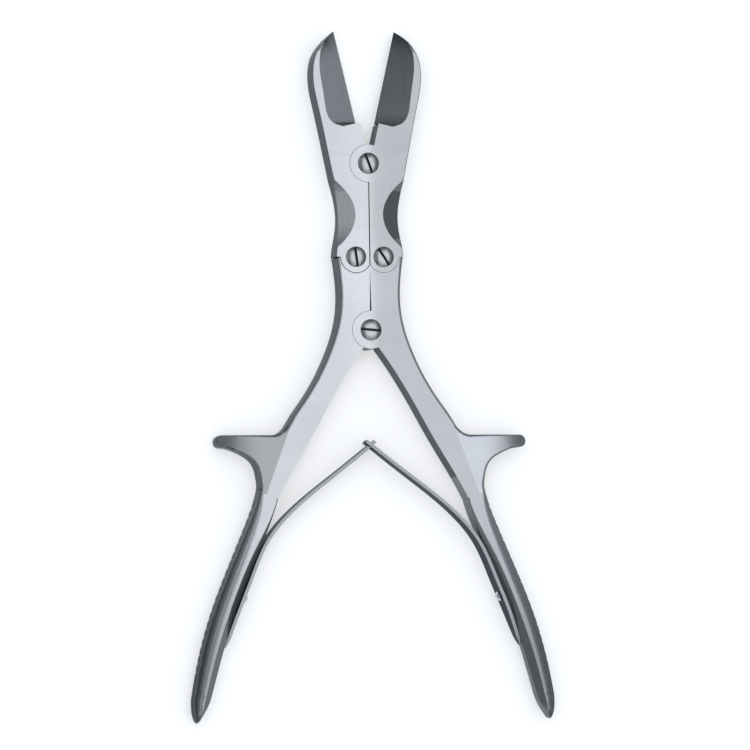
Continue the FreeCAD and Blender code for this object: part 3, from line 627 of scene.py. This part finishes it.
def dressCopy(node, name, materials, choose, sizes, rounded):
    # a welded and smoothed copy of a part, with a finish chosen for each face; narrow chamfers
    # are shaded as small roundings and wide ones are rounded
    source = frame["nodes"][node]
    sharpAngle, chamferWidth = sizes
    bm = weldedCopy(node)
    if node == "left_handle":
        openSeam(bm)
    bm.normal_update()
    soft = set()
    if rounded:
        roundHornTips(bm)
        roundChamfers(bm, chamferWidth)
    else:
        soft = {face for face in bm.faces if isChamfer(face, chamferWidth)}
    for face in bm.faces:
        face.smooth = True
        face.material_index = choose(face.normal, face.calc_center_median() / mm)
    for edge in bm.edges:
        flats = all(abs(face.normal.z) > dressing["webSlope"] for face in edge.link_faces)
        if creased(edge, dressing["webCrease"] if flats else sharpAngle):
            edge.smooth = not soft.isdisjoint(edge.link_faces)
    bmesh.ops.triangulate(bm, faces=bm.faces[:])
    strength = bm.faces.layers.int.new("__mod_weightednormals_faceweight")
    for face in bm.faces:
        face[strength] = strongFace if abs(face.normal.z) > dressing["flatSlope"] else 0
    piece = addMesh(name, bm, materials)
    weighted = piece.modifiers.new("weightedNormals", "WEIGHTED_NORMAL")
    weighted.keep_sharp = True
    weighted.use_face_influence = True
    weighted.weight = dressing["normalWeight"]
    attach(piece, source["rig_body"])
    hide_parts(node)


# Where each finish goes: slopes as above, places in mm from the handle screw.
jawZones = {
    "wallSlope": 0.5,
    "bevelFrom": 74.0,
    "bevelTurn": 0.02,        # share of the normal that points to the other jaw
    "scoopRange": (24.0, 62.0),
    "scoopSlope": 0.88,
    "scoopTurn": 0.3,         # share of the normal that points along the jaw
}
handleZones = {
    "levelSlope": 0.99995,    # the arm's flat, beside a web that hardly slopes
    "webFrom": 30.0,          # from the middle
    "webs": ((0.9, -56.0), (0.9985, -62.0)),    # least slope, and how far down it counts
    "gripTop": -55.0,
    "gripTurn": 0.3,          # share of the normal that points to the other handle
}


def jawFinish(side):
    # brushed flats, polished edges, ground bevels and scoops
    def choose(normal, centre):
        slope = abs(normal.z)
        low, high = jawZones["scoopRange"]
        if slope > dressing["flatSlope"]:
            return 0
        if slope < jawZones["wallSlope"]:
            return 1
        if centre.y > jawZones["bevelFrom"] and -side * normal.x > jawZones["bevelTurn"]:
            return 2
        lengthways = abs(normal.y) < jawZones["scoopTurn"]
        return 3 if low < centre.y < high and lengthways and slope > jawZones["scoopSlope"] else 1
    return choose


def handleFinish(side):
    # brushed flats, polished edges, the sloping webs and horns, the grip's matt inner side
    def choose(normal, centre):
        slope = abs(normal.z)
        if slope > handleZones["levelSlope"]:
            return 0
        onWeb = any(slope > least and centre.y > low for least, low in handleZones["webs"])
        if onWeb and abs(centre.x) > handleZones["webFrom"]:
            return 2
        if centre.y < handleZones["gripTop"] and -side * normal.x > handleZones["gripTurn"]:
            return 3
        return 0 if slope > dressing["flatSlope"] else 1
    return choose


for side, word, facet, scoop in ((-1, "left", leftFacet, leftScoop),
                                 (1, "right", rightFacet, rightScoop)):
    dressCopy(f"{word}_jaw", f"{word}JawSteel", [satin, edgePaint, facet, scoop],
              jawFinish(side), dressing["jaw"], False)
for side, word, web in ((-1, "left", webLeft), (1, "right", webRight)):
    dressCopy(f"{word}_handle", f"{word}HandleSteel", [satin, edgePaint, web, slopePaint],
              handleFinish(side), dressing["handle"], True)
print("jaws and handles dressed")

# Screws and rivets, all from one tree: a domed head on a shank, with or without a slot.
fasteners = {
    "sides": 64,
    "rings": 12,
    "domePower": 2.4,         # 2 is a round dome, more is flatter with a rounder rim
    "sharp": 32.0,            # degrees
}
screws = {
    # node: centre x and y, head radius and the slot's angle in degrees from +X
    "jaw_pivot_screw": ((0.0, 62.8), 3.9, 110),
    "handle_pivot_screw": ((0.0, 0.0), 3.9, -5),
    "left_link_screw": ((-5.3, 27.5), 3.75, 98),
    "right_link_screw": ((5.3, 27.5), 3.75, 123),
}
rivets = {
    "seat": (50.332, -99.600, 5.0),   # mm, on the grip's inner side
    "outward": (0.925, -0.379),       # towards the other handle, on the left side
    "headRadius": 1.9,
}
# mm, heights and depths along the axis; the two share their names with the tree's inputs
screwSizes = {"headBottom": 8.6, "face": 10.0, "rise": 0.56, "shank": 2.4, "bottom": 0.15,
              "slotWidth": 1.0, "slotDepth": 1.1}
rivetSizes = {"headBottom": 1.33, "face": 1.6, "rise": 1.25, "shank": 1.15, "bottom": -4.5,
              "slotWidth": 0.0, "slotDepth": 0.0}


def fastenerTree():
    tree = bpy.data.node_groups.new("turnedFastener", "GeometryNodeTree")
    tree.interface.new_socket("Geometry", in_out="OUTPUT", socket_type="NodeSocketGeometry")
    for kind, names in (("Float", [*screwSizes, "headRadius", "slotAngle"]),
                        ("Vector", ["place", "turn"]), ("Material", ["finish"])):
        for name in names:
            tree.interface.new_socket(name, in_out="INPUT", socket_type=f"NodeSocket{kind}")
    sizes = addNode(tree, "NodeGroupInput").outputs

    def vector(x=0.0, y=0.0, z=0.0):
        return addNode(tree, "ShaderNodeCombineXYZ", {0: x, 1: y, 2: z}).outputs[0]

    def moved(geometry, place, turn=(0.0, 0.0, 0.0)):
        return addNode(tree, "GeometryNodeTransform",
                       {"Geometry": geometry, "Translation": place, "Rotation": turn}).outputs[0]

    def cylinder(radius, low, high, rings):
        depth = calc(tree, "SUBTRACT", high, low)
        middle = calc(tree, "MULTIPLY", calc(tree, "ADD", low, high), 0.5)
        drum = addNode(tree, "GeometryNodeMeshCylinder",
                       {"Vertices": fasteners["sides"], "Side Segments": 1,
                        "Fill Segments": rings, "Radius": radius, "Depth": depth})
        return moved(drum.outputs["Mesh"], vector(z=middle))

    head = cylinder(sizes["headRadius"], sizes["headBottom"], sizes["face"], fasteners["rings"])
    spot = addNode(tree, "ShaderNodeSeparateXYZ",
                   {0: addNode(tree, "GeometryNodeInputPosition").outputs[0]}).outputs
    flat = addNode(tree, "ShaderNodeVectorMath", {0: vector(spot[0], spot[1])},
                   operation="LENGTH").outputs["Value"]
    share = calc(tree, "DIVIDE", flat, sizes["headRadius"])
    bulge = calc(tree, "SUBTRACT", 1.0, calc(tree, "POWER", share, fasteners["domePower"]))
    lift = calc(tree, "MULTIPLY", bulge, sizes["rise"])
    isTop = calc(tree, "GREATER_THAN", spot[2], calc(tree, "SUBTRACT", sizes["face"], 0.01 * mm))
    domed = addNode(tree, "GeometryNodeSetPosition",
                    {"Geometry": head, "Selection": isTop, "Offset": vector(z=lift)}).outputs[0]
    shank = cylinder(sizes["shank"], sizes["bottom"], sizes["headBottom"], 1)
    # the block that cuts the slot is centred on the crown and reaches past the head
    top = calc(tree, "ADD", sizes["face"], sizes["rise"])
    length = calc(tree, "MULTIPLY", sizes["headRadius"], 2.5)
    height = calc(tree, "MULTIPLY", sizes["slotDepth"], 2.0)
    block = addNode(tree, "GeometryNodeMeshCube",
                    {"Size": vector(length, sizes["slotWidth"], height)})
    slot = moved(block.outputs["Mesh"], vector(z=top), vector(z=sizes["slotAngle"]))
    cut = addNode(tree, "GeometryNodeMeshBoolean", {"Mesh 1": domed, "Mesh 2": slot},
                  operation="DIFFERENCE", solver="EXACT").outputs["Mesh"]
    hasSlot = addNode(tree, "FunctionNodeCompare", {"A": sizes["slotDepth"], "B": 0.0},
                      data_type="FLOAT", operation="GREATER_THAN").outputs[0]
    chosen = addNode(tree, "GeometryNodeSwitch", {"Switch": hasSlot, "False": domed, "True": cut},
                     input_type="GEOMETRY").outputs[0]
    whole = addNode(tree, "GeometryNodeJoinGeometry", {"Geometry": chosen})
    tree.links.new(shank, whole.inputs[0])
    radius = addNode(tree, "GeometryNodeStoreNamedAttribute",
                     {"Geometry": whole.outputs[0], "Name": "turnRadius", "Value": flat},
                     data_type="FLOAT", domain="POINT").outputs[0]
    placed = moved(radius, sizes["place"], sizes["turn"])
    real = addNode(tree, "GeometryNodeRealizeInstances", {"Geometry": placed}).outputs[0]
    done = addNode(tree, "GeometryNodeSetMaterial",
                   {"Geometry": real, "Material": sizes["finish"]}).outputs[0]
    addNode(tree, "NodeGroupOutput", {"Geometry": done})
    return tree


def bakeFastener(tree, bm, material, radius, sizes, place, turn=(0.0, 0.0, 0.0), slotAngle=0.0):
    # adds one fastener, in its place, to the bmesh of its body
    mesh = bpy.data.meshes.new("fastenerHolder")
    holder = bpy.data.objects.new("fastenerHolder", mesh)
    scene.collection.objects.link(holder)
    nodes = holder.modifiers.new("turnedFastener", "NODES")
    nodes.node_group = tree
    values = {name: size * mm for name, size in sizes.items()}
    values.update({"headRadius": radius * mm, "slotAngle": math.radians(slotAngle), "turn": turn,
                   "place": metres(*place), "finish": material})
    for item in tree.interface.items_tree:
        if item.in_out == "INPUT":
            nodes[item.identifier] = values[item.name]
    view = bpy.context.evaluated_depsgraph_get()
    baked = bpy.data.meshes.new_from_object(holder.evaluated_get(view), depsgraph=view)
    bm.from_mesh(baked)
    holder.modifiers.clear()
    bpy.data.objects.remove(holder)
    bpy.data.meshes.remove(baked)


def shadeSmooth(bm):
    for face in bm.faces:
        face.smooth = True
    for edge in bm.edges:
        if creased(edge, fasteners["sharp"]):
            edge.smooth = False


def finishFasteners(bm, name, body, material, nodes):
    bmesh.ops.remove_doubles(bm, verts=bm.verts, dist=dressing["weld"] * mm)
    for face in bm.faces:
        face.material_index = 0
    shadeSmooth(bm)
    piece = addMesh(name, bm, [material])
    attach(piece, body)
    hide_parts(*nodes)


fastener = fastenerTree()
screwSets = (("left_jaw_body", "jawPivotScrew", ["jaw_pivot_screw"]),
             ("left_handle_body", "leftHandleScrews", ["handle_pivot_screw", "left_link_screw"]),
             ("right_handle_body", "rightHandleScrew", ["right_link_screw"]))
for body, name, nodes in screwSets:
    bm = bmesh.new()
    for node in nodes:
        (x, y), radius, angle = screws[node]
        bakeFastener(fastener, bm, screwPaint, radius, screwSizes, (x, y, 0.0), slotAngle=angle)
    finishFasteners(bm, name, body, screwPaint, nodes)
for side, word in ((-1, "left"), (1, "right")):
    bm = bmesh.new()
    x, y, z = rivets["seat"]
    across, along = rivets["outward"]
    bakeFastener(fastener, bm, rivetPaint, rivets["headRadius"], rivetSizes, (side * x, y, z),
                 (0.0, math.radians(90), math.atan2(along, -side * across)))
    finishFasteners(bm, f"{word}RivetHead", f"{word}_handle_body", rivetPaint,
                    [f"{word}_spring_rivet"])
print("screws and rivets turned")

# Leaf springs: copies cut into thin slices where a spring bends, between the handle and the free
# half, with the tail thinned and narrowed.
springs = {
    "bendStart": (46.0, -92.0),     # mm, beside and below the handle screw
    "bendEnd": (32.0, -69.0),
    "bendCuts": 28,
    "height": 5.0,                  # mm, the middle of the strip
    "thickness": 1.2,               # mm
    "cutSlack": 1e-7,               # m, corners this near a cut are used as they are
    "tailEnd": (56.4, -118.6),      # mm, middle of the tail's end
    "thinFrom": (54.74, -113.34),   # mm, where the tail starts to thin
    "thinCuts": 4,
    "thinPower": 2.0,
    "thinLeft": 0.35,               # share of the thickness left at the very end
    "narrowFrom": (51.2, -102.2),   # mm, where the tail starts to narrow
    "narrowCuts": 8,
    "narrowPower": 1.6,
    "narrowLeft": 0.3,              # share of the width left at the very end
}


def bendSpring(node, name, side, material):
    bm = weldedCopy(node)

    def spot(key, height=0.0):
        return Vector((side * springs[key][0], springs[key][1], height)) * mm

    start, end = [spot(key, springs["height"]) for key in ("bendStart", "bendEnd")]
    thin, neck, tail = [spot(key) for key in ("thinFrom", "narrowFrom", "tailEnd")]
    slices = ((start, end, springs["bendCuts"], springs["bendCuts"] + 1),
              (thin, tail, springs["thinCuts"], springs["thinCuts"]),
              (neck, tail, springs["narrowCuts"], springs["narrowCuts"]))
    for low, high, parts, count in slices:
        for step in range(count):
            bmesh.ops.bisect_plane(bm, geom=bm.verts[:] + bm.edges[:] + bm.faces[:],
                                   dist=springs["cutSlack"], plane_co=low.lerp(high, step / parts),
                                   plane_no=(high - low).normalized())
    along = (tail - thin).normalized()
    away = Vector((along.y, -along.x, 0)) * side      # from the grip towards the other handle
    for vert in bm.verts:
        share = (vert.co - thin).dot(along) / (tail - thin).length
        if share > 0 and (vert.co - thin).dot(away) > 0:
            lost = min(share, 1.0) ** springs["thinPower"] * (1 - springs["thinLeft"])
            vert.co -= away * (lost * springs["thickness"] * mm)
    middle = springs["height"] * mm
    for vert in bm.verts:
        share = (vert.co - neck).dot(tail - neck) / (tail - neck).length_squared
        if share > 0:
            left = 1 - (1 - springs["narrowLeft"]) * min(share, 1.0) ** springs["narrowPower"]
            vert.co.z = middle + (vert.co.z - middle) * left
    shadeSmooth(bm)
    piece = addMesh(name, bm, [material])
    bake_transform(piece)
    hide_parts(node)


bendSpring("left_spring", "leftLeafSpring", -1, springLeft)
bendSpring("right_spring", "rightLeafSpring", 1, springRight)
print("springs bent")
